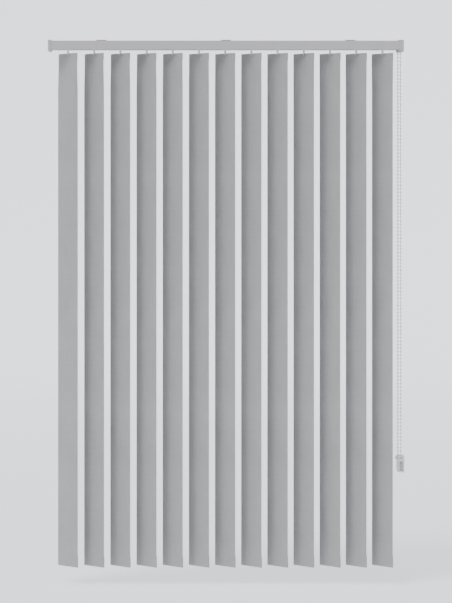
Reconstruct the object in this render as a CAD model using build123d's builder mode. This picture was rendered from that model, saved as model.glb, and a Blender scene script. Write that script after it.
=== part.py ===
from build123d import *
import os
from math import cos, pi, radians, sin, tan

# Vertical blind: fabric vanes hung from carriers in an aluminium headrail and turned by a chain.
# X runs along the headrail with the chain at +X, -Y faces the room and +Z is up.
# The origin is on the ceiling, at the screw of the middle fixing bracket.

# ---- Vanes ----
vane_count = 13
vane_pitch = 80.0
vane_width = 89.0
vane_drop = 1566.0
rest_angle = 47.0  # each vane's turn out of the rail's plane, room edge at +X
cloth = 0.4
hanger_plate = 0.8
hanger_width = 80.0
hanger_height = 20.0
weight_plate = 1.0
weight_width = 84.0
weight_height = 32.0
seam = 2.0
pocket_ease = 3.0

# ---- Headrail ----
ceiling_gap = 3.0
rail_width = 44.0
rail_height = 27.0
rail_wall = 1.4
rail_edge = 1.0
slot_width = 14.0
lip_height = 1.8
track_width = 20.0
track_mouth = 12.0
track_depth = 2.2
idle_clearance = 5.5
chain_clearance = 3.5

# ---- End caps ----
idle_cap_length = 10.0
control_cap_length = 16.0
cap_top = -0.5
cap_lip = 2.0
cap_overhang = 5.0
cap_corner = 2.5
cap_edge = 1.5
cap_wall = 2.0
plug_length = 12.0
plug_wall = 1.6
plug_fit = 0.3

# ---- Carriers and their gears ----
carrier_length = 16.0
carrier_inset = 3.6
headroom = 1.5
side_fit = 0.4
height_fit = 0.3
journal_radius = 3.6
pin_height = 4.9
running_fit = 0.1
pinion_teeth = 12
gear_module = 0.8
pinion_height = 7.0
tooth_clearance = 0.2
worm_wall = 0.9
worm_collar_length = 1.2
worm_length = 14.0
worm_wall_fit = 0.2
link_width = 5.0
link_thickness = 0.3
link_seat = 8.0
link_overlap = 4.0
link_slope = 2.58

# ---- Hook stems ----
hook_top_width = 5.6
hook_tip_width = 3.6
hook_depth = 4.2
hook_slot = 2.2
hook_overlap = 4.6
barb_height = 1.2
barb_width = 3.0
barb_tip = 1.0
vane_top_gap = 10.6  # from the rail's underside to the vanes' top folds

# ---- Tilt rod, sprocket and chain ----
rod_radius = 2.5
key_width = 1.6
key_depth = 1.0
key_fit = 0.15
bead_pitch = 10.8
bead_radius = 2.75
string_radius = 0.7
sprocket_pockets = 4
sprocket_cheek = 0.4
sprocket_rim = 2.0
pocket_fit = 0.35
strand_offset = 4.5
strand_drop = 1311.0
guide_height = 7.0
guide_wall = 1.5

# ---- Chain tidy ----
tidy_y = 0.0  # in the stems' plane, where the closed vanes pass it on both sides
tidy_height = 52.0
tidy_plate = 2.5
tidy_plate_width = 34.0
tidy_wall = 1.5
tidy_ease = 2.5
tidy_side_fit = 0.2
tidy_taper = 2.5
tidy_corner = 4.0
tidy_foot = 8.0  # from the chain's lowest point to the tidy's lower edge
tidy_window_width = 10.5
tidy_window_height = 28.0
tidy_window_base = 5.0
tidy_slit_width = 9.0
tidy_slit_height = 3.0
tidy_slit_drop = 8.0
eye_radius = 6.0
eye_hole_radius = 1.9
eye_reach = 4.2  # from the eye's left edge to the body's left side
tidy_hole_spacing = 25.0
tidy_hole_radius = 2.1
peg_fit = 0.05
wall_gap = 2.0  # from the control cap to the wall of the window recess

# ---- Fixing brackets ----
bracket_count = 3
bracket_spacing = 380.0
bracket_length = 30.0
bracket_depth = 38.0
bracket_plate = 1.8
bracket_foot = 4.0
bracket_foot_place = 11.0
bracket_hole_radius = 2.25

os.makedirs("parts", exist_ok=True)

# Places along X.
idle_margin = vane_width / 2 + idle_clearance
control_margin = vane_width / 2 + chain_clearance
rail_length = (vane_count - 1) * vane_pitch + idle_margin + control_margin
overall_length = rail_length + idle_cap_length + control_cap_length
rail_left = -overall_length / 2 + idle_cap_length
rail_right = rail_left + rail_length
stem_places = [rail_left + idle_margin + k * vane_pitch for k in range(vane_count)]
sprocket_width = 2 * (bead_radius + pocket_fit + sprocket_cheek)
sprocket_x = rail_right + sprocket_width / 2

# Heights.
rail_top = -ceiling_gap
rail_bottom = rail_top - rail_height
rail_floor = rail_bottom + rail_wall
track_floor = rail_top - 2 * rail_wall - track_depth
carrier_base = rail_floor + lip_height + height_fit
carrier_top = track_floor - headroom
vane_top = rail_bottom - vane_top_gap
vane_bottom = vane_top - vane_drop

# The worm gear: a pinion on each stem, driven by a worm that slides along the rod.
pinion_radius = pinion_teeth * gear_module / 2
pinion_tip = pinion_radius + 0.75 * gear_module
pinion_root = pinion_radius - 1.25 * gear_module
neck_base = rail_bottom + height_fit
pinion_base = carrier_top - pin_height - pinion_height
worm_core = rod_radius + worm_wall
rod_y = pinion_tip + tooth_clearance + worm_core
rod_z = pinion_base + pinion_height / 2
worm_radius = worm_core + 1.75 * gear_module
worm_bore = worm_radius + running_fit
chamber_radius = pinion_tip + 0.4
key_height = key_depth - key_fit

# The chain's wheel: as many beads as pockets go round it.
chain_radius = bead_pitch / (2 * sin(pi / sprocket_pockets))

rod_axis = Axis((0, rod_y, rod_z), (1, 0, 0))


def write(piece, name):
    piece.label = name
    export_step(piece, f"parts/{name}.step")


def write_row(pieces, name):
    for number, (piece, place) in enumerate(zip(pieces, stem_places), start=1):
        write(piece.moved(Location((place, 0, 0))), f"{name}_{number:02d}")


# ---- Headrail: one extrusion, open below for the stems and above for the brackets' feet ----
inner_width = rail_width - 2 * rail_wall
carrier_width = inner_width - 2 * carrier_inset

with BuildPart() as headrail:
    with BuildSketch(Plane.YZ.offset(rail_left)) as rail_section:
        with Locations((0, rail_top - rail_height / 2)):
            Rectangle(rail_width, rail_height)
        fillet(rail_section.vertices(), rail_edge)
        with Locations((0, rail_top - rail_height / 2)):
            Rectangle(inner_width, rail_height - 2 * rail_wall, mode=Mode.SUBTRACT)
        with Locations((0, (rail_top + track_floor) / 2)):
            Rectangle(track_width + 2 * rail_wall, rail_top - track_floor)
            Rectangle(track_width, track_depth, mode=Mode.SUBTRACT)
        with Locations((0, rail_top)):
            Rectangle(track_mouth, 2 * rail_wall + 0.1, mode=Mode.SUBTRACT)
        with GridLocations(slot_width + rail_wall, 0, 2, 1):
            with Locations((0, rail_bottom + (rail_wall + lip_height) / 2)):
                Rectangle(rail_wall, rail_wall + lip_height)
        with Locations((0, rail_bottom)):
            Rectangle(slot_width, 2 * rail_wall + 0.1, mode=Mode.SUBTRACT)
    extrude(amount=rail_length)
write(headrail.part, "headrail")

# ---- Carrier: slides on the rail's floor, holds a stem and a worm ----
shoe_inner = slot_width / 2 + rail_wall + side_fit
shoe_outer = inner_width / 2 - side_fit
shoe_height = lip_height + height_fit

with BuildPart() as carrier:
    with BuildSketch(Plane.XY.offset(carrier_base)):
        Rectangle(carrier_length, carrier_width)
    extrude(amount=carrier_top - carrier_base)
    fillet(carrier.edges().filter_by(Axis.Z), 1.5)
    with BuildSketch(Plane.XY.offset(rail_floor)):
        with GridLocations(0, shoe_inner + shoe_outer, 1, 2):
            Rectangle(carrier_length, shoe_outer - shoe_inner)
    extrude(amount=shoe_height + 1.5)
    with BuildSketch(Plane.XY.offset(neck_base)):
        RectangleRounded(carrier_length - 2, slot_width - 2 * side_fit, 2)
    extrude(amount=carrier_base - neck_base)
    with BuildSketch(Plane.XY.offset(neck_base)):
        Circle(journal_radius + running_fit)
    extrude(amount=carrier_top - neck_base, mode=Mode.SUBTRACT)
    with BuildSketch(Plane.XY.offset(pinion_base)):
        Circle(chamber_radius)
    extrude(amount=carrier_top - pinion_base, mode=Mode.SUBTRACT)
    with BuildSketch(Plane.YZ.offset(-worm_length / 2 - worm_wall_fit)):
        with Locations((rod_y, rod_z)):
            Circle(worm_bore)
    extrude(amount=carrier_length, mode=Mode.SUBTRACT)
    with BuildSketch(Plane.YZ.offset(-carrier_length / 2)):
        with Locations((rod_y, rod_z)):
            Circle(rod_radius + 0.5)
    extrude(amount=carrier_length, mode=Mode.SUBTRACT)

# ---- Spacer link: a spring-steel strip from each carrier over the next one towards the idle end ----
link_reach = vane_pitch + link_overlap
link_rise = (link_reach - link_seat / 2) * tan(radians(link_slope))
link_y = (track_width / 2 + rail_wall + inner_width / 2) / 2

with BuildPart() as spacer_link:
    with BuildSketch(Plane.XZ.offset(-link_y - link_width / 2)):
        with BuildLine():
            Polyline(
                (link_seat / 2, carrier_top),
                (-link_seat / 2, carrier_top),
                (-link_reach, carrier_top + link_rise),
                (-link_reach, carrier_top + link_rise + link_thickness),
                (-link_seat / 2, carrier_top + link_thickness),
                (link_seat / 2, carrier_top + link_thickness),
                close=True,
            )
        make_face()
    extrude(amount=link_width)

linked_carrier = Compound([*carrier.part.solids(), *spacer_link.part.solids()])
write_row([carrier.part] + [linked_carrier] * (vane_count - 1), "carrier")

# ---- Worm: keyed on the rod; its thread is on the core between the two collars ----
with BuildPart() as worm:
    with BuildSketch(Plane.YZ.offset(-worm_length / 2)):
        with Locations((rod_y, rod_z)):
            Circle(worm_radius)
    extrude(amount=worm_length)
    with BuildSketch(Plane.YZ.offset(-worm_length / 2 + worm_collar_length)):
        with Locations((rod_y, rod_z)):
            Circle(worm_radius + 1)
            Circle(worm_core, mode=Mode.SUBTRACT)
    extrude(amount=worm_length - 2 * worm_collar_length, mode=Mode.SUBTRACT)
    with BuildSketch(Plane.YZ.offset(-worm_length / 2)):
        with Locations((rod_y, rod_z)):
            Circle(rod_radius + running_fit)
        with Locations((rod_y, rod_z + rod_radius - key_height / 2 + running_fit)):
            Rectangle(key_width - 2 * key_fit, key_height + 2 * running_fit, mode=Mode.SUBTRACT)
    extrude(amount=worm_length, mode=Mode.SUBTRACT)
write_row([worm.part] * vane_count, "worm")

# ---- Hook stem: a pinion and journal in the carrier, and a forked hook that grips the vane ----
across = Vector(cos(radians(rest_angle)), -sin(radians(rest_angle)), 0)
through = Vector(sin(radians(rest_angle)), cos(radians(rest_angle)), 0)
vane_face = Plane(origin=(0, 0, 0), x_dir=across, z_dir=-through)
vane_edge = Plane(origin=(0, 0, 0), x_dir=through, z_dir=across)
hook_tip = vane_top - hook_overlap
barb_top = vane_top - cloth - 2.0

with BuildPart() as hook_stem:
    with BuildSketch(Plane.XY.offset(neck_base)):
        Circle(journal_radius)
    extrude(amount=pinion_base - neck_base)
    with BuildSketch(Plane.XY.offset(pinion_base)):
        Circle(pinion_root)
        with PolarLocations((pinion_root + pinion_tip) / 2 - 0.2, pinion_teeth):
            Rectangle(pinion_tip - pinion_root + 0.4, 0.45 * pi * gear_module)
    extrude(amount=pinion_height)
    with BuildSketch(Plane.XY.offset(pinion_base + pinion_height)):
        Circle(journal_radius / 2)
    extrude(amount=pin_height - headroom)
    with BuildSketch(vane_face.offset(-hook_depth / 2)):
        with BuildLine():
            Polyline(
                (hook_top_width / 2, neck_base),
                (-hook_top_width / 2, neck_base),
                (-hook_tip_width / 2, hook_tip),
                (hook_tip_width / 2, hook_tip),
                close=True,
            )
        make_face()
    extrude(amount=hook_depth)
    with BuildSketch(vane_face.offset(-hook_slot / 2)):
        with Locations((0, (vane_top + 1 + hook_tip) / 2)):
            Rectangle(2 * hook_top_width, vane_top + 1 - hook_tip, mode=Mode.ADD)
    extrude(amount=hook_slot, mode=Mode.SUBTRACT)
    with BuildSketch(vane_face.offset(-hook_slot / 2 + height_fit)):
        with Locations((0, barb_top - barb_height / 2)):
            Rectangle(barb_width, barb_height)
    extrude(amount=hook_slot - height_fit + barb_tip / 2)
write_row([hook_stem.part] * vane_count, "hook_stem")

# ---- Vane: one strip of fabric, folded and welded into a pocket for the hanger at its top
# and a pocket for the weight at its foot ----
front = -hanger_plate / 2 - cloth
top_pocket = hanger_height + pocket_ease
bottom_pocket = weight_height + pocket_ease
hanger_top = vane_top - cloth
weight_base = vane_bottom + cloth

with BuildPart() as fabric:
    with BuildSketch(vane_edge.offset(-vane_width / 2)):
        with Locations((front + cloth / 2, (vane_top + vane_bottom) / 2)):
            Rectangle(cloth, vane_drop)
        with Locations((front, vane_top)):
            Rectangle(hanger_plate + 2 * cloth, top_pocket, align=(Align.MIN, Align.MAX))
        with Locations((front + cloth, hanger_top)):
            Rectangle(
                hanger_plate,
                top_pocket - cloth - seam,
                align=(Align.MIN, Align.MAX),
                mode=Mode.SUBTRACT,
            )
        with Locations((front, vane_bottom)):
            Rectangle(weight_plate + 2 * cloth, bottom_pocket, align=(Align.MIN, Align.MIN))
        with Locations((front + cloth, weight_base)):
            Rectangle(
                weight_plate,
                bottom_pocket - cloth - seam,
                align=(Align.MIN, Align.MIN),
                mode=Mode.SUBTRACT,
            )
    extrude(amount=vane_width)
    with BuildSketch(vane_face.offset(-hook_depth)):
        with Locations((0, barb_top + height_fit)):
            Rectangle(
                barb_width + 2 * height_fit,
                barb_height + 2 * height_fit,
                align=(Align.CENTER, Align.MAX),
            )
    extrude(amount=2 * hook_depth, mode=Mode.SUBTRACT)

with BuildPart() as hanger:
    with BuildSketch(vane_face.offset(-hanger_plate / 2)):
        with Locations((0, hanger_top)):
            Rectangle(hanger_width, hanger_height, align=(Align.CENTER, Align.MAX))
        with Locations((0, barb_top)):
            Rectangle(
                barb_width + 2 * height_fit,
                barb_height + height_fit,
                align=(Align.CENTER, Align.MAX),
                mode=Mode.SUBTRACT,
            )
    extrude(amount=hanger_plate)

with BuildPart() as weight:
    with BuildSketch(vane_face.offset(hanger_plate / 2 - weight_plate)):
        with Locations((0, weight_base)):
            Rectangle(weight_width, weight_height, align=(Align.CENTER, Align.MIN))
    extrude(amount=weight_plate)

vane = Compound([*fabric.part.solids(), *hanger.part.solids(), *weight.part.solids()])
write_row([vane] * vane_count, "vane")

# ---- Tilt rod: round, with one keyway along its whole length ----
rod_left = rail_left - idle_cap_length + cap_wall + 1
rod_right = rail_right + control_cap_length - cap_wall - 1

with BuildPart() as tilt_rod:
    with BuildSketch(Plane.YZ.offset(rod_left)):
        with Locations((rod_y, rod_z)):
            Circle(rod_radius)
        with Locations((rod_y, rod_z + rod_radius)):
            Rectangle(key_width, 2 * key_depth, mode=Mode.SUBTRACT)
    extrude(amount=rod_right - rod_left)
write(tilt_rod.part, "tilt_rod")

# ---- Chain sprocket: keyed on the rod, with a slot for the string and a pocket for each bead ----
rim_radius = chain_radius + sprocket_rim

with BuildPart() as chain_sprocket:
    with BuildSketch(Plane.YZ.offset(sprocket_x - sprocket_width / 2)):
        with Locations((rod_y, rod_z)):
            Circle(rim_radius)
    extrude(amount=sprocket_width)
    with BuildSketch(Plane.XY.offset(rod_z)):
        with Locations((sprocket_x, rod_y + chain_radius)):
            Circle(string_radius + pocket_fit)
            with Locations((0, sprocket_rim)):
                Rectangle(2 * (string_radius + pocket_fit), 2 * sprocket_rim)
    revolve(axis=rod_axis, mode=Mode.SUBTRACT)
    for pocket in range(sprocket_pockets):
        turn = 2 * pi * (pocket + 0.5) / sprocket_pockets
        with Locations(
            (sprocket_x, rod_y + chain_radius * cos(turn), rod_z + chain_radius * sin(turn))
        ):
            Sphere(bead_radius + pocket_fit, mode=Mode.SUBTRACT)
    with BuildSketch(Plane.YZ.offset(sprocket_x - sprocket_width / 2)):
        with Locations((rod_y, rod_z)):
            Circle(rod_radius + running_fit)
        with Locations((rod_y, rod_z + rod_radius - key_height / 2 + running_fit)):
            Rectangle(key_width - 2 * key_fit, key_height + 2 * running_fit, mode=Mode.SUBTRACT)
    extrude(amount=sprocket_width, mode=Mode.SUBTRACT)
write(chain_sprocket.part, "chain_sprocket")

# ---- End caps: a cover on the rail's end, a plug inside it and a bearing for the rod ----
plug_width = inner_width - 2 * plug_fit
plug_top = track_floor - plug_fit
plug_bottom = rail_floor + lip_height + plug_fit
plug_middle = (plug_top + plug_bottom) / 2
cap_width = rail_width + 2 * cap_lip
cap_height = cap_top - rail_bottom + cap_overhang
cap_middle = cap_top - cap_height / 2
bearing_radius = rod_radius + 2.5
bearing_bore = rod_radius + running_fit / 2

with BuildPart() as idle_end_cap:
    with BuildSketch(Plane.YZ.offset(rail_left - idle_cap_length)):
        with Locations((0, cap_middle)):
            RectangleRounded(cap_width, cap_height, cap_corner)
    extrude(amount=idle_cap_length)
    fillet(idle_end_cap.faces().sort_by(Axis.X)[0].edges(), cap_edge)
    with BuildSketch(Plane.YZ.offset(rail_left)):
        with Locations((0, plug_middle)):
            Rectangle(plug_width, plug_top - plug_bottom)
            Rectangle(
                plug_width - 2 * plug_wall,
                plug_top - plug_bottom - 2 * plug_wall,
                mode=Mode.SUBTRACT,
            )
        with Locations((rod_y, rod_z)):
            Circle(bearing_radius)
    extrude(amount=plug_length)
    with BuildSketch(Plane.YZ.offset(rail_left - idle_cap_length + cap_wall)):
        with Locations((rod_y, rod_z)):
            Circle(bearing_bore)
    extrude(amount=idle_cap_length + plug_length, mode=Mode.SUBTRACT)
write(idle_end_cap.part, "idle_end_cap")

# The control cap also houses the sprocket, and its guide spreads the two strands along X.
front_strand_y = rod_y - chain_radius
rear_strand_y = rod_y + chain_radius
guide_left = sprocket_x - strand_offset - bead_radius - pocket_fit - guide_wall
guide_right = sprocket_x + strand_offset + bead_radius + pocket_fit + guide_wall
guide_bottom = rail_bottom - guide_height
passage = 2 * (bead_radius + pocket_fit)
chamber_width = 2 * (rim_radius + 1)

with BuildPart() as control_end_cap:
    with BuildSketch(Plane.YZ.offset(rail_right)):
        with Locations((0, cap_middle)):
            RectangleRounded(cap_width, cap_height, cap_corner)
    extrude(amount=control_cap_length)
    fillet(control_end_cap.faces().sort_by(Axis.X)[-1].edges(), cap_edge)
    with BuildSketch(Plane.YZ.offset(rail_right)):
        with Locations((rod_y, rod_z)):
            Rectangle(chamber_width, chamber_width)
    extrude(amount=sprocket_width + 1, mode=Mode.SUBTRACT)
    with BuildSketch(Plane.YZ.offset(rail_right - plug_length)):
        with Locations((0, plug_middle)):
            Rectangle(plug_width, plug_top - plug_bottom)
            Rectangle(
                plug_width - 2 * plug_wall,
                plug_top - plug_bottom - 2 * plug_wall,
                mode=Mode.SUBTRACT,
            )
    extrude(amount=plug_length)
    with BuildSketch(Plane.YZ.offset(rail_right - plug_length)):
        with Locations((0, plug_middle)):
            Rectangle(plug_width, plug_top - plug_bottom)
    extrude(amount=cap_wall)
    with BuildSketch(Plane.XY.offset(guide_bottom)):
        with Locations(((guide_left + guide_right) / 2, rod_y)):
            RectangleRounded(
                guide_right - guide_left,
                2 * chain_radius + passage + 2 * guide_wall,
                guide_wall,
            )
    extrude(amount=guide_height)
    for strand_y, side in ((front_strand_y, -1), (rear_strand_y, 1)):
        slot_from = sprocket_x - side * passage / 2
        slot_to = sprocket_x + side * (strand_offset + passage / 2)
        with BuildSketch(Plane.XY.offset(guide_bottom)):
            with Locations(((slot_from + slot_to) / 2, strand_y)):
                Rectangle(abs(slot_to - slot_from), passage)
        extrude(amount=rod_z - rim_radius - guide_bottom, mode=Mode.SUBTRACT)
    with BuildSketch(Plane.YZ.offset(rail_right - plug_length)):
        with Locations((rod_y, rod_z)):
            Circle(bearing_bore)
    extrude(amount=plug_length + control_cap_length - cap_wall, mode=Mode.SUBTRACT)
write(control_end_cap.part, "control_end_cap")

# ---- Control chain: one loop round the sprocket and the tidy's peg, as its string ----
chain_bottom = -strand_drop
wheel_entry = rod_z - chain_radius
wheel_top = rod_z + chain_radius
string_gap = 0.3

chain_points = [
    (sprocket_x + string_gap / 2, tidy_y, chain_bottom),
    (sprocket_x + strand_offset, tidy_y, chain_bottom),
    (sprocket_x + strand_offset, rear_strand_y, guide_bottom),
    (sprocket_x, rear_strand_y, wheel_entry),
    (sprocket_x, rear_strand_y, wheel_top),
    (sprocket_x, front_strand_y, wheel_top),
    (sprocket_x, front_strand_y, wheel_entry),
    (sprocket_x - strand_offset, front_strand_y, guide_bottom),
    (sprocket_x - strand_offset, tidy_y, chain_bottom),
    (sprocket_x - string_gap / 2, tidy_y, chain_bottom),
]
peg_bend = strand_offset - 0.4
wheel_bend = chain_radius - 0.1
chain_radii = [peg_bend, 28, 18, wheel_bend, wheel_bend, 18, 28, peg_bend]

with BuildPart() as control_chain:
    with BuildLine() as chain_route:
        FilletPolyline(*chain_points, radius=chain_radii)
    with BuildSketch(Plane(origin=chain_route.line @ 0, z_dir=chain_route.line % 0)):
        Circle(string_radius)
    sweep()
write(control_chain.part, "control_chain")
chain_length = sum(edge.length for edge in chain_route.line.edges())
string_share = control_chain.part.volume / (pi * string_radius**2 * chain_length)
print("control_chain radii", [round(radius, 2) for radius in chain_radii])
print("control_chain length", round(chain_length, 1), "volume share", round(string_share, 4))

# ---- Chain tidy: screwed to the wall of the recess, it holds the chain's lower end on a peg ----
wall_x = rail_right + control_cap_length + wall_gap
tidy_bottom = chain_bottom - tidy_foot
tidy_top = tidy_bottom + tidy_height
tidy_middle = (tidy_top + tidy_bottom) / 2
tidy_left = sprocket_x - strand_offset - bead_radius - tidy_side_fit - tidy_wall
tidy_knee = chain_bottom + strand_offset
plate_left = wall_x - tidy_plate
cavity_depth = 2 * bead_radius + tidy_ease
tidy_depth = cavity_depth + 2 * tidy_wall
eye_x = tidy_left - eye_reach + eye_radius
eye_z = tidy_top - eye_radius - 1
window_x = sprocket_x + strand_offset + 1
window_z = tidy_bottom + tidy_window_base + tidy_window_height / 2

with BuildPart() as chain_tidy:
    with BuildSketch(Plane.XZ.offset(-tidy_y - tidy_depth / 2)):
        with BuildLine():
            Polyline(
                (wall_x, tidy_top),
                (eye_x, tidy_top),
                (tidy_left, eye_z),
                (tidy_left, tidy_knee),
                (tidy_left + tidy_taper, tidy_bottom),
                (wall_x, tidy_bottom),
                close=True,
            )
        make_face()
        with Locations((eye_x, eye_z)):
            Circle(eye_radius)
    extrude(amount=tidy_depth)
    fillet(chain_tidy.edges().filter_by(Axis.Y).group_by(Axis.Z)[0].sort_by(Axis.X)[0], tidy_corner)
    with BuildSketch(Plane.XZ.offset(-tidy_y - cavity_depth / 2)):
        with BuildLine():
            Polyline(
                (plate_left, tidy_top),
                (tidy_left + tidy_wall, tidy_top),
                (tidy_left + tidy_wall, tidy_knee),
                (tidy_left + tidy_wall + tidy_taper, tidy_bottom + tidy_wall),
                (plate_left, tidy_bottom + tidy_wall),
                close=True,
            )
        make_face()
    extrude(amount=cavity_depth, mode=Mode.SUBTRACT)
    with BuildSketch(Plane.XZ.offset(-tidy_y)):
        with Locations((window_x, window_z)):
            RectangleRounded(tidy_window_width, tidy_window_height, 2)
        with Locations((window_x, tidy_top - tidy_slit_drop)):
            RectangleRounded(tidy_slit_width, tidy_slit_height, 1)
        with Locations((eye_x, eye_z)):
            Circle(eye_hole_radius)
    extrude(amount=tidy_depth, mode=Mode.SUBTRACT)
    with BuildSketch(Plane.XZ.offset(-tidy_y - tidy_depth / 2)):
        with Locations((sprocket_x, chain_bottom + strand_offset)):
            Circle(strand_offset - bead_radius - peg_fit)
    extrude(amount=tidy_depth - tidy_wall)
    with BuildSketch(Plane.YZ.offset(plate_left)):
        with Locations((tidy_y, tidy_middle)):
            RectangleRounded(tidy_plate_width, tidy_height, 3)
            with GridLocations(tidy_hole_spacing, 0, 2, 1):
                Circle(tidy_hole_radius, mode=Mode.SUBTRACT)
    extrude(amount=tidy_plate)
write(chain_tidy.part, "chain_tidy")

# ---- Fixing brackets: screwed to the ceiling, two feet each in the track along the rail's top ----
foot_width = track_width - 2 * plug_fit
neck_width = track_mouth - 2 * plug_fit
foot_top = rail_top - rail_wall

with BuildPart() as top_brackets:
    with BuildSketch(Plane.XY.offset(-bracket_plate)):
        with GridLocations(bracket_spacing, 0, bracket_count, 1):
            RectangleRounded(bracket_length, bracket_depth, 3)
            Circle(bracket_hole_radius, mode=Mode.SUBTRACT)
    extrude(amount=bracket_plate)
    with BuildSketch(Plane.XY.offset(foot_top)):
        with GridLocations(bracket_spacing, 0, bracket_count, 1):
            with GridLocations(2 * bracket_foot_place, 0, 2, 1):
                Rectangle(bracket_foot, neck_width)
    extrude(amount=-bracket_plate - foot_top)
    with BuildSketch(Plane.XY.offset(foot_top - track_depth + height_fit)):
        with GridLocations(bracket_spacing, 0, bracket_count, 1):
            with GridLocations(2 * bracket_foot_place, 0, 2, 1):
                Rectangle(bracket_foot, foot_width)
    extrude(amount=track_depth - height_fit)
write(top_brackets.part, "top_brackets")
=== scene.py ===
import math
import random

import bmesh
import bpy
from mathutils import Matrix, Vector


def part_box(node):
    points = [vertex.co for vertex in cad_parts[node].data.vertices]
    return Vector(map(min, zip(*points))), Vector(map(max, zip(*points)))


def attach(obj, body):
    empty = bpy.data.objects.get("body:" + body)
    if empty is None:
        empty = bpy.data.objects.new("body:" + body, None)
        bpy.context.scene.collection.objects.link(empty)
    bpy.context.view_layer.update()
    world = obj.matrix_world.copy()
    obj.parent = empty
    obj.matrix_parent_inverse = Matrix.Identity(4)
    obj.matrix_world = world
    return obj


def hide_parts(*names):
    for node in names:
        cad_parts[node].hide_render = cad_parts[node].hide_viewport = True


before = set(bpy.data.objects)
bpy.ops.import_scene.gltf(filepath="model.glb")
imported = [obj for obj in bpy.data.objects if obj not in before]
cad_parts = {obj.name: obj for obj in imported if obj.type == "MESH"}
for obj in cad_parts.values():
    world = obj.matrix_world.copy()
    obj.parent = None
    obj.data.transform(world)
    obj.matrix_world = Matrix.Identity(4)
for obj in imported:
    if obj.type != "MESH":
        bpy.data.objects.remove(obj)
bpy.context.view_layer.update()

# ---- Camera ----
# It stands in the room at head height, level, square to the blind and well back.
camera_distance = 7.4
camera_height = -0.563
camera_side = 0.0003
view_height = 1.841  # what the view's height covers at the blind
view_centre = -0.798
view_reach = 60  # past the backdrop on every side
camera_data = bpy.data.cameras.new("room_camera")
camera_data.lens = camera_data.sensor_width * camera_distance / view_height
camera_data.shift_y = (view_centre - camera_height) / view_height
camera_data.clip_end = view_reach
room_camera = bpy.data.objects.new("room_camera", camera_data)
room_camera.location = (camera_side, -camera_distance, camera_height)
room_camera.rotation_euler = (math.pi / 2, 0, 0)
bpy.context.scene.collection.objects.link(room_camera)
bpy.context.scene.camera = room_camera

# ---- Control chain: the string ----
# A braided polyester string, one endless loop over the sprocket and round the tidy's peg.
# Its two ends meet at the bottom of the loop, where the tidy hides them.
string_diameter = 0.0014
chain_route = [
    (0.52965, 0.0, -1.3110),
    (0.5340, 0.0, -1.3110),
    (0.5340, 0.00011, -1.3026),
    (0.5340, 0.01653, -0.0454),
    (0.5340, 0.016637, -0.0370),
    (0.5295, 0.016637, -0.025537),
    (0.5295, 0.016637, -0.010263),
    (0.5295, 0.001363, -0.010263),
    (0.5295, 0.001363, -0.025537),
    (0.5250, 0.001363, -0.0370),
    (0.5250, 0.001354, -0.0454),
    (0.5250, 0.000009, -1.3026),
    (0.5250, 0.0, -1.3110),
    (0.52935, 0.0, -1.3110),
]
string_curve = bpy.data.curves.new("chain_string", "CURVE")
string_curve.dimensions = "3D"
string_curve.resolution_u = 16
string_line = string_curve.splines.new("NURBS")
string_line.points.add(len(chain_route) - 1)
for point, place in zip(string_line.points, chain_route):
    point.co = (*place, 1)
string_line.order_u = 3
string_line.use_endpoint_u = True


def line_points(curve):
    bare = bpy.data.objects.new("bare_line", curve.copy())
    bare.data.bevel_depth = 0
    mesh = bpy.data.meshes.new_from_object(bare)
    points = [vertex.co.copy() for vertex in mesh.vertices]
    bpy.data.meshes.remove(mesh)
    bpy.data.curves.remove(bare.data)
    return points


string_points = line_points(string_curve)
string_length = sum((b - a).length for a, b in zip(string_points, string_points[1:]))
string_curve.bevel_depth = string_diameter / 2
string_curve.bevel_resolution = 2
chain_string = bpy.data.objects.new("chain_string", string_curve)
bpy.context.scene.collection.objects.link(chain_string)

# The beads are moulded onto the string in white plastic, each a hair shorter along it than wide.
bead_diameter = 0.0055
bead_squash = 0.96
bead_pitch = 0.0108
bead_count = 2 * round(string_length / bead_pitch / 2)


def along(points, distance):
    for a, b in zip(points, points[1:]):
        step = (b - a).length
        if distance <= step:
            return a.lerp(b, distance / step), (b - a).normalized()
        distance -= step
    return points[-1], (points[-1] - points[-2]).normalized()


def add_object(name, bm, material=None):
    mesh = bpy.data.meshes.new(name)
    bm.to_mesh(mesh)
    bm.free()
    made = bpy.data.objects.new(name, mesh)
    bpy.context.scene.collection.objects.link(made)
    if material is not None:
        mesh.materials.append(material)
    return made


beads = bmesh.new()
for number in range(bead_count):
    place, direction = along(string_points, (number + 0.5) * string_length / bead_count)
    turn = direction.to_track_quat("Z", "Y").to_matrix().to_4x4()
    bmesh.ops.create_uvsphere(
        beads,
        u_segments=10,
        v_segments=7,
        radius=bead_diameter / 2,
        matrix=Matrix.Translation(place) @ turn @ Matrix.Diagonal((1, 1, bead_squash, 1)),
    )
for face in beads.faces:
    face.smooth = True
chain_beads = add_object("chain_beads", beads)


# ---- Finishes ----
# Every finish is a surface with plain values on its sockets, and most have a pattern over it
# that shades the colour, varies the gloss and raises a fine relief.
relief_depth = 0.0002


def surface(name, color, roughness, metallic=0.0, coat=0.0):
    material = bpy.data.materials.new(name)
    material.use_nodes = True
    shader = material.node_tree.nodes["Principled BSDF"]
    shader.inputs["Base Color"].default_value = (*color, 1)
    shader.inputs["Roughness"].default_value = roughness
    shader.inputs["Metallic"].default_value = metallic
    shader.inputs["Coat Weight"].default_value = coat
    shader.inputs["Coat Roughness"].default_value = 0.25
    return material, shader


def add_node(tree, kind, values=None, **settings):
    node = tree.nodes.new(f"ShaderNode{kind}")
    for name, value in settings.items():
        setattr(node, name, value)
    for socket, value in (values or {}).items():
        node.inputs[socket].default_value = value
    return node


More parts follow.
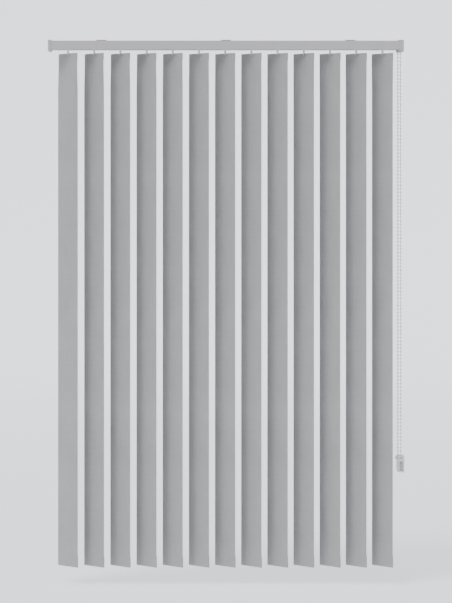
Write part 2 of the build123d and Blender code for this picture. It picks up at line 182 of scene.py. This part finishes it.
def new_pattern(name, inputs, outputs):
    pattern = bpy.data.node_groups.new(name, "ShaderNodeTree")
    for in_out, sockets in (("INPUT", inputs), ("OUTPUT", outputs)):
        for socket in sockets:
            kind = "NodeSocketColor" if socket == "Color" else "NodeSocketFloat"
            pattern.interface.new_socket(socket, in_out=in_out, socket_type=kind)
    return pattern, pattern.nodes.new("NodeGroupInput"), pattern.nodes.new("NodeGroupOutput")


def noise(tree, place, values):
    texture = add_node(tree, "TexNoise", values)
    tree.links.new(place, texture.inputs["Vector"])
    return texture


def mapped(tree, place, stretch):
    lay = add_node(tree, "Mapping", {"Scale": stretch})
    tree.links.new(place, lay.inputs["Vector"])
    return lay.outputs["Vector"]


def ranged(tree, value, to_low, to_high, from_low=0.0, from_high=1.0):
    limits = {"From Min": from_low, "From Max": from_high, "To Min": to_low, "To Max": to_high}
    shade = add_node(tree, "MapRange", limits)
    tree.links.new(value, shade.inputs["Value"])
    return shade.outputs["Result"]


def combined(tree, operation, first, second):
    both = add_node(tree, "Math", operation=operation)
    tree.links.new(first, both.inputs[0])
    tree.links.new(second, both.inputs[1])
    return both.outputs["Value"]


def scaled_onto(tree, value, factor, base):
    both = add_node(tree, "Math", {1: factor}, operation="MULTIPLY_ADD")
    tree.links.new(value, both.inputs[0])
    tree.links.new(base, both.inputs[2])
    return both.outputs["Value"]


def tinted(tree, color, shade):
    tint = add_node(tree, "VectorMath", operation="SCALE")
    tree.links.new(color, tint.inputs[0])
    tree.links.new(shade, tint.inputs["Scale"])
    return tint.outputs["Vector"]


def lay_pattern(material, shader, pattern, values, relief):
    tree = material.node_tree
    skin = add_node(tree, "Group", node_tree=pattern)
    for name, value in values.items():
        skin.inputs[name].default_value = value
    bump = add_node(tree, "Bump", {"Strength": relief, "Distance": relief_depth})
    tree.links.new(skin.outputs["Color"], shader.inputs["Base Color"])
    if "Roughness" in skin.outputs:
        tree.links.new(skin.outputs["Roughness"], shader.inputs["Roughness"])
    tree.links.new(skin.outputs["Height"], bump.inputs["Height"])
    tree.links.new(bump.outputs["Normal"], shader.inputs["Normal"])


# Moulded plastic: faint cloudiness in the colour and the gloss, and a very slight ripple.
def moulded_group():
    pattern, given, result = new_pattern(
        "moulded_plastic", ("Color", "Scale", "Roughness"), ("Color", "Roughness", "Height")
    )
    links = pattern.links
    place = add_node(pattern, "TexCoord").outputs["Object"]
    cloud = noise(pattern, place, {"Detail": 4})
    links.new(given.outputs["Scale"], cloud.inputs["Scale"])
    shade = ranged(pattern, cloud.outputs["Fac"], 0.93, 1.0, 0.3, 0.7)
    links.new(tinted(pattern, given.outputs["Color"], shade), result.inputs["Color"])
    gloss = scaled_onto(pattern, cloud.outputs["Fac"], 0.12, given.outputs["Roughness"])
    links.new(gloss, result.inputs["Roughness"])
    skin = noise(pattern, place, {"Detail": 3})
    fine = add_node(pattern, "Math", {1: 14}, operation="MULTIPLY")
    links.new(given.outputs["Scale"], fine.inputs[0])
    links.new(fine.outputs["Value"], skin.inputs["Scale"])
    links.new(skin.outputs["Fac"], result.inputs["Height"])
    return pattern


moulded_plastic = moulded_group()


def plastic(name, color, roughness, scale=60.0, ripple=0.04, coat=0.0):
    material, shader = surface(name, color, roughness, coat=coat)
    values = {"Color": (*color, 1), "Scale": scale, "Roughness": roughness}
    lay_pattern(material, shader, moulded_plastic, values, ripple)
    return material


# ---- Control chain: its finish and its fixing ----
# The string and its beads ride on the rail as one, in place of the CAD's bare string.
bead_white = plastic("bead_white", (0.90, 0.90, 0.91), 0.32, scale=90, coat=0.2)
string_white = plastic("string_white", (0.78, 0.78, 0.79), 0.75, scale=300, ripple=0.4)
chain_string.data.materials.append(string_white)
chain_beads.data.materials.append(bead_white)
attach(chain_string, "rail")
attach(chain_beads, "rail")
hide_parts("control_chain")

# ---- Vanes: fabric ----
# Each vane is one strip of stiffened polyester cloth, folded back and welded at both ends into
# a pocket: the upper one holds the hanger, the lower one the weight. It hangs a little curled,
# and below its hook it turns up to three degrees off the hook's own angle.
vane_width = 0.089
cloth = 0.0004
hanger_thickness = 0.0008
weight_thickness = 0.0010
top_pocket = 0.023
bottom_pocket = 0.035
weld_slope = 0.003  # how soon a pocket's back layer meets the front one at its weld
curl = 0.0023
most_lean = 0.00025
# Shares of the vane's length: where the cloth is free of its pockets, and how soon it curls
# and turns below the upper one.
free_from = 0.02
free_to = 0.976
curl_in = 0.10
curl_out = 0.05
turn_in = 0.06
fold_inset = 0.0006
fold_rise = 0.0004
fold_angles = (0.8, 1.57, 2.34)
hole_width = 0.0036
hole_top = 0.0021
hole_bottom = 0.0039
names = [f"{number:02d}" for number in range(1, 14)]
hook_turn = math.radians(47.0)
first_turn = 44.0
turn_drift = 4.4
turn_play = 0.04
play = random.Random(7)
vane_turns = {
    number: math.radians(
        first_turn + turn_drift * index / (len(names) - 1) + play.uniform(-turn_play, turn_play)
    )
    for index, number in enumerate(names)
}
first_low, first_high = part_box("vane_01")
vane_top = first_high.z
vane_bottom = first_low.z
vane_length = vane_top - vane_bottom


def stem_x(number):
    low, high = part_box(f"hook_stem_{number}")
    return (low.x + high.x) / 2


# The strip's path from the welded end of its top pocket, over both folds, to the other weld.
def strip_path():
    face = -(hanger_thickness + cloth) / 2
    back_top = -face
    back_low = face + weight_thickness + cloth
    path = [(face + cloth, vane_top - top_pocket)]
    path.append((back_top, vane_top - top_pocket + weld_slope))
    top_drops = (0.0008, hole_top, hole_bottom, 0.006, 0.010, 0.016)
    path += [(back_top, vane_top - drop) for drop in reversed(top_drops)]
    path += [
        (back_top * math.cos(a), vane_top - fold_inset + fold_rise * math.sin(a))
        for a in fold_angles
    ]
    path += [(face, vane_top - drop) for drop in top_drops]
    path += [(face, vane_top - top_pocket + 0.001), (face, vane_top - top_pocket - 0.002)]
    start, stop = vane_top - 0.034, vane_bottom + bottom_pocket + 0.010
    rows = 44
    path += [(face, start + (stop - start) * k / rows) for k in range(rows + 1)]
    bottom_rises = (0.0012, 0.009, 0.018, 0.028)
    path += [(face, vane_bottom + rise) for rise in (0.037, 0.0345, *reversed(bottom_rises))]
    middle, half = (face + back_low) / 2, (back_low - face) / 2
    path += [
        (middle - half * math.cos(a), vane_bottom + fold_inset - fold_rise * math.sin(a))
        for a in fold_angles
    ]
    path += [(back_low, vane_bottom + rise) for rise in bottom_rises]
    path.append((back_low, vane_bottom + bottom_pocket - weld_slope))
    path.append((face + cloth, vane_bottom + bottom_pocket))
    return path


def smooth_step(value):
    value = min(max(value, 0.0), 1.0)
    return value * value * (3 - 2 * value)


across_places = [-vane_width / 2, -0.0430, -0.037, -0.030, -0.022, -0.013, -0.006, -0.0018]
across_places += [-place for place in reversed(across_places)]


def make_vane(number, chance):
    path = strip_path()
    run = [0.0]
    for a, b in zip(path, path[1:]):
        run.append(run[-1] + math.hypot(b[0] - a[0], b[1] - a[1]))
    bm = bmesh.new()
    columns = len(across_places)
    bmesh.ops.create_grid(bm, x_segments=columns - 1, y_segments=len(path) - 1, size=0.5)
    bm.verts.ensure_lookup_table()
    uv = bm.loops.layers.uv.new("cloth")
    bend = curl * chance.uniform(0.95, 1.05)
    lean = chance.uniform(-most_lean, most_lean)
    for index, vertex in enumerate(bm.verts):
        row, column = divmod(index, columns)
        depth, height = path[row]
        across = across_places[column]
        down = (vane_top - height) / vane_length
        free = smooth_step((down - free_from) / curl_in) * smooth_step((free_to - down) / curl_out)
        bulge = bend * free * (1 - (2 * across / vane_width) ** 2)
        wander = lean * math.sin(math.pi * down) * down
        vertex.co = (across, depth + wander - bulge, height)
    for face in bm.faces:
        for loop in face.loops:
            row, column = divmod(loop.vert.index, columns)
            loop[uv].uv = (across_places[column] + vane_width / 2, run[row])
        face.smooth = True
    holes = [
        face
        for face in bm.faces
        if abs(face.calc_center_median().x) < hole_width / 4
        and vane_top - hole_bottom < face.calc_center_median().z < vane_top - hole_top
    ]
    bmesh.ops.delete(bm, geom=holes, context="FACES")
    centre = Vector((stem_x(number), 0, 0))
    for vertex in bm.verts:
        down = (vane_top - vertex.co.z) / vane_length
        loose = smooth_step((down - free_from) / turn_in)
        turn = hook_turn + (vane_turns[number] - hook_turn) * loose
        vertex.co = centre + Matrix.Rotation(-turn, 3, "Z") @ vertex.co
    vane = add_object(f"vane_fabric_{number}", bm)
    shell = vane.modifiers.new("cloth_thickness", "SOLIDIFY")
    shell.thickness = cloth
    shell.offset = 0
    return vane, run[-1]


# Woven cloth, drawn on the strip's own map in metres: warp and weft threads, thicker slubs
# here and there, and a slow drift in the shade of the yarn.
def woven_group():
    pattern, given, result = new_pattern("woven_cloth", ("Color", "Threads"), ("Color", "Height"))
    links = pattern.links
    place = add_node(pattern, "UVMap", uv_map="cloth").outputs["UV"]
    threads = []
    for direction in ("X", "Y"):
        wave = add_node(
            pattern,
            "TexWave",
            {"Distortion": 0.6, "Detail": 1},
            wave_type="BANDS",
            bands_direction=direction,
            wave_profile="SIN",
        )
        links.new(place, wave.inputs["Vector"])
        links.new(given.outputs["Threads"], wave.inputs["Scale"])
        threads.append(wave.outputs["Fac"])
    weave = combined(pattern, "MAXIMUM", *threads)
    slubs = []
    for stretch in ((900, 12, 1), (14, 1100, 1)):
        slub = noise(pattern, mapped(pattern, place, stretch), {"Scale": 1, "Detail": 2})
        slubs.append(slub.outputs["Fac"])
    streak = combined(pattern, "ADD", *slubs)
    drift = noise(pattern, place, {"Scale": 7, "Detail": 3})
    mixed = combined(pattern, "ADD", streak, drift.outputs["Fac"])
    shade = ranged(pattern, mixed, 0.84, 1.08, 1.1, 1.9)
    crossing = ranged(pattern, weave, 0.86, 1.04)
    both = combined(pattern, "MULTIPLY", shade, crossing)
    links.new(tinted(pattern, given.outputs["Color"], both), result.inputs["Color"])
    links.new(combined(pattern, "ADD", weave, streak), result.inputs["Height"])
    return pattern


cloth_color = (0.415, 0.412, 0.418)
vane_grey, vane_shader = surface("vane_cloth", cloth_color, 0.86)
vane_shader.inputs["Sheen Weight"].default_value = 0.15
vane_shader.inputs["Sheen Roughness"].default_value = 0.5
vane_shader.inputs["Specular IOR Level"].default_value = 0.25
weave_values = {"Color": (*cloth_color, 1), "Threads": 600}
lay_pattern(vane_grey, vane_shader, woven_group(), weave_values, 0.35)

# ---- Vanes: hanger and weight plates ----
# Inside the pockets, both moulded with rounded corners. The hanger stands at its hook's angle
# and has a hole for the hook's barb, and the weight stands at the cloth's.
hanger_size = (0.080, hanger_thickness, 0.020)
weight_size = (0.084, weight_thickness, 0.032)
weight_depth = 0.0001
plate_corner = 0.003
plate_hole_top = 0.0020
plate_hole_bottom = 0.0035
plate_white = plastic("plate_white", (0.60, 0.60, 0.60), 0.5, scale=40)


def cut(bm, point, direction):
    everything = bm.verts[:] + bm.edges[:] + bm.faces[:]
    bmesh.ops.bisect_plane(bm, geom=everything, plane_co=point, plane_no=direction)


def make_plate(name, number, turn, size, depth, top, hole):
    bm = bmesh.new()
    bmesh.ops.create_cube(bm, size=1, matrix=Matrix.Diagonal((*size, 1)))
    corners = [
        edge
        for edge in bm.edges
        if abs(edge.verts[0].co.x - edge.verts[1].co.x) < 1e-6
        and abs(edge.verts[0].co.z - edge.verts[1].co.z) < 1e-6
    ]
    bmesh.ops.bevel(
        bm,
        geom=corners,
        offset=plate_corner,
        offset_type="OFFSET",
        segments=4,
        profile=0.5,
        affect="EDGES",
        material=-1,
    )
    if hole:
        for x in (-hole_width / 2, hole_width / 2):
            cut(bm, (x, 0, 0), (1, 0, 0))
        for drop in (plate_hole_top, plate_hole_bottom):
            cut(bm, (0, 0, size[2] / 2 - drop), (0, 0, 1))
        sides = [
            face
            for face in bm.faces
            if abs(face.normal.y) > 0.9
            and abs(face.calc_center_median().x) < hole_width / 2
            and plate_hole_top < size[2] / 2 - face.calc_center_median().z < plate_hole_bottom
        ]
        bmesh.ops.bridge_loops(bm, edges=list({edge for face in sides for edge in face.edges}))
        bmesh.ops.delete(bm, geom=sides, context="FACES_ONLY")
    move = Matrix.Translation((stem_x(number), 0, 0)) @ Matrix.Rotation(-turn, 4, "Z")
    move = move @ Matrix.Translation((0, depth, top - size[2] / 2))
    bmesh.ops.transform(bm, matrix=move, verts=bm.verts)
    bmesh.ops.recalc_face_normals(bm, faces=bm.faces)
    return add_object(f"{name}_{number}", bm, plate_white)


vane_chance = random.Random(13)
for number in names:
    vane, strip_length = make_vane(number, vane_chance)
    vane.data.materials.append(vane_grey)
    hanger_top = vane_top - cloth
    weight_top = vane_bottom + cloth + weight_size[2]
    hanger = make_plate("vane_hanger", number, hook_turn, hanger_size, 0.0, hanger_top, True)
    weight = make_plate(
        "vane_weight", number, vane_turns[number], weight_size, weight_depth, weight_top, False
    )
    for piece in (vane, hanger, weight):
        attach(piece, f"hanging_{number}")
        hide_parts(f"vane_{number}")

# ---- Worm threads ----
# Each worm has a two-start right-hand thread between its collars, moulded with it, that drives
# its stem's pinion. It is hidden in the carrier.
thread_root = 0.0034
thread_tip = 0.0046
thread_foot = 0.0007  # half the thread's width at its root
thread_crest = 0.0003  # and at its tip
thread_lead = 0.0050265
thread_run = 0.0108
nylon_white = plastic("nylon_white", (0.84, 0.84, 0.83), 0.42, scale=50, ripple=0.05)


def make_thread(number):
    bm = bmesh.new()
    low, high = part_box(f"worm_{number}")
    middle = (low + high) / 2
    turns = thread_run / thread_lead
    for start in range(2):
        ring = [(-thread_foot, thread_root), (-thread_crest, thread_tip)]
        ring += [(thread_crest, thread_tip), (thread_foot, thread_root)]
        verts = [bm.verts.new((x - thread_run / 2, 0, radius)) for x, radius in ring]
        face = bm.faces.new(verts)
        turn = Matrix.Rotation(math.pi * start, 3, "X")
        bmesh.ops.rotate(bm, cent=(0, 0, 0), matrix=turn, verts=verts)
        steps = 16 * math.ceil(turns)
        bmesh.ops.spin(
            bm,
            geom=[face, *face.edges, *verts],
            cent=(0, 0, 0),
            axis=(1, 0, 0),
            dvec=(thread_run / steps, 0, 0),
            angle=2 * math.pi * turns,
            steps=steps,
            use_duplicate=False,
        )
    bmesh.ops.recalc_face_normals(bm, faces=bm.faces)
    bmesh.ops.translate(bm, verts=bm.verts, vec=middle)
    return add_object(f"worm_thread_{number}", bm, nylon_white)


for number in names:
    thread = make_thread(number)
    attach(thread, f"gear_{number}")


# ---- Hook stems, carriers, worms and sprocket ----
# All moulded in white nylon. The stems' lower ends are the only part of them that shows.
def refinish(node_name, material):
    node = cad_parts[node_name]
    node.data.materials.clear()
    node.data.materials.append(material)


for number in names:
    for kind in ("hook_stem", "carrier", "worm"):
        refinish(f"{kind}_{number}", nylon_white)
refinish("chain_sprocket", nylon_white)


# ---- Headrail ----
# An aluminium extrusion with a satin silver-grey coating. Fine die lines run along it under
# the coating, and the coat has a slight orange peel.
def coated_group():
    pattern, given, result = new_pattern(
        "coated_extrusion", ("Color", "Roughness"), ("Color", "Roughness", "Height")
    )
    links = pattern.links
    place = add_node(pattern, "TexCoord").outputs["Object"]
    lines = noise(pattern, mapped(pattern, place, (0.6, 900, 900)), {"Scale": 1, "Detail": 2})
    peel = noise(pattern, place, {"Scale": 700})
    relief = scaled_onto(pattern, peel.outputs["Fac"], 0.4, lines.outputs["Fac"])
    links.new(relief, result.inputs["Height"])
    shade = ranged(pattern, lines.outputs["Fac"], 0.96, 1.02, 0.3, 0.7)
    links.new(tinted(pattern, given.outputs["Color"], shade), result.inputs["Color"])
    gloss = scaled_onto(pattern, lines.outputs["Fac"], 0.10, given.outputs["Roughness"])
    links.new(gloss, result.inputs["Roughness"])
    return pattern


coated_extrusion = coated_group()


def coated(name, color, roughness, metallic):
    material, shader = surface(name, color, roughness, metallic=metallic)
    values = {"Color": (*color, 1), "Roughness": roughness}
    lay_pattern(material, shader, coated_extrusion, values, 0.06)
    return material


refinish("headrail", coated("rail_silver", (0.515, 0.50, 0.525), 0.42, 0.15))

# ---- End caps ----
# Moulded grey plastic covers pushed into the rail's ends, a shade darker than the rail. The
# right one houses the sprocket and carries the chain's guide below.
cap_grey = plastic("cap_grey", (0.50, 0.485, 0.51), 0.38, scale=45, ripple=0.05)
refinish("idle_end_cap", cap_grey)
refinish("control_end_cap", cap_grey)

# ---- Tilt rod ----
# Drawn aluminium, bare, with a keyway along it. It is hidden in the rail.
refinish("tilt_rod", coated("rod_bare", (0.62, 0.62, 0.63), 0.30, 0.9))

# ---- Fixing brackets ----
# Pressed steel, powder coated white, between the ceiling and the rail.
refinish("top_brackets", coated("bracket_white", (0.78, 0.78, 0.78), 0.5, 0.0))

# ---- Chain tidy ----
# Moulded white plastic, screwed to the wall of the recess through its plate.
refinish("chain_tidy", plastic("tidy_white", (0.90, 0.89, 0.91), 0.3, scale=70, coat=0.2))

# ---- Floor, backdrop and light ----
# A level pale floor just under the vanes that curves up, far off on every side, into a low wall
# of the same paint. The wall glows a little to the eye, more than it lights the blind.
floor_height = vane_bottom - 0.055
floor_flat = 4.0
wall_radius = 13.0
wall_bend = 3.0
wall_top = 5.0
bend_steps = 12
wall_glow = 0.52
extra_glow_seen = 0.50
profile = [(out, floor_height) for out in (0.0, floor_flat, wall_radius - wall_bend)]
for step in range(1, bend_steps + 1):
    angle = math.pi / 2 * step / bend_steps
    profile.append(
        (
            wall_radius - wall_bend + wall_bend * math.sin(angle),
            floor_height + wall_bend - wall_bend * math.cos(angle),
        )
    )
profile.append((wall_radius, wall_top))
bowl = bmesh.new()
line = [bowl.verts.new((0, out, height)) for out, height in profile]
edges = [bowl.edges.new(pair) for pair in zip(line, line[1:])]
bmesh.ops.spin(
    bowl,
    geom=line + edges,
    cent=(0, 0, 0),
    axis=(0, 0, 1),
    angle=2 * math.pi,
    steps=72,
    use_merge=True,
    use_duplicate=False,
)
bmesh.ops.remove_doubles(bowl, verts=bowl.verts, dist=0.0001)
bmesh.ops.recalc_face_normals(bowl, faces=bowl.faces)
bmesh.ops.reverse_faces(bowl, faces=bowl.faces)
for face in bowl.faces:
    face.smooth = True
backdrop_white, backdrop_shader = surface("backdrop_white", (0.80, 0.81, 0.84), 0.9)
backdrop_shader.inputs["Emission Color"].default_value = (0.90, 0.91, 0.97, 1)
backdrop_tree = backdrop_white.node_tree
seen = add_node(backdrop_tree, "LightPath").outputs["Is Camera Ray"]
glow = add_node(backdrop_tree, "Math", {1: extra_glow_seen, 2: wall_glow}, operation="MULTIPLY_ADD")
backdrop_tree.links.new(seen, glow.inputs[0])
backdrop_tree.links.new(glow.outputs["Value"], backdrop_shader.inputs["Emission Strength"])
backdrop = add_object("backdrop", bowl, backdrop_white)

world = bpy.data.worlds.new("room_light")
world.use_nodes = True
room_glow = world.node_tree.nodes["Background"]
room_glow.inputs["Color"].default_value = (0.92, 0.91, 0.93, 1)
room_glow.inputs["Strength"].default_value = 0.20
bpy.context.scene.world = world

for name, energy, spread, origin in (
    ("side_key", 1.38, 24, (-0.42, -0.50, 0.76)),
    ("ceiling_soft", 1.0, 60, (-0.12, -0.34, 0.93)),
):
    light_data = bpy.data.lights.new(name, "SUN")
    light_data.energy = energy
    light_data.angle = math.radians(spread)
    light = bpy.data.objects.new(name, light_data)
    light.rotation_euler = Vector(origin).to_track_quat("Z", "Y").to_euler()
    bpy.context.scene.collection.objects.link(light)
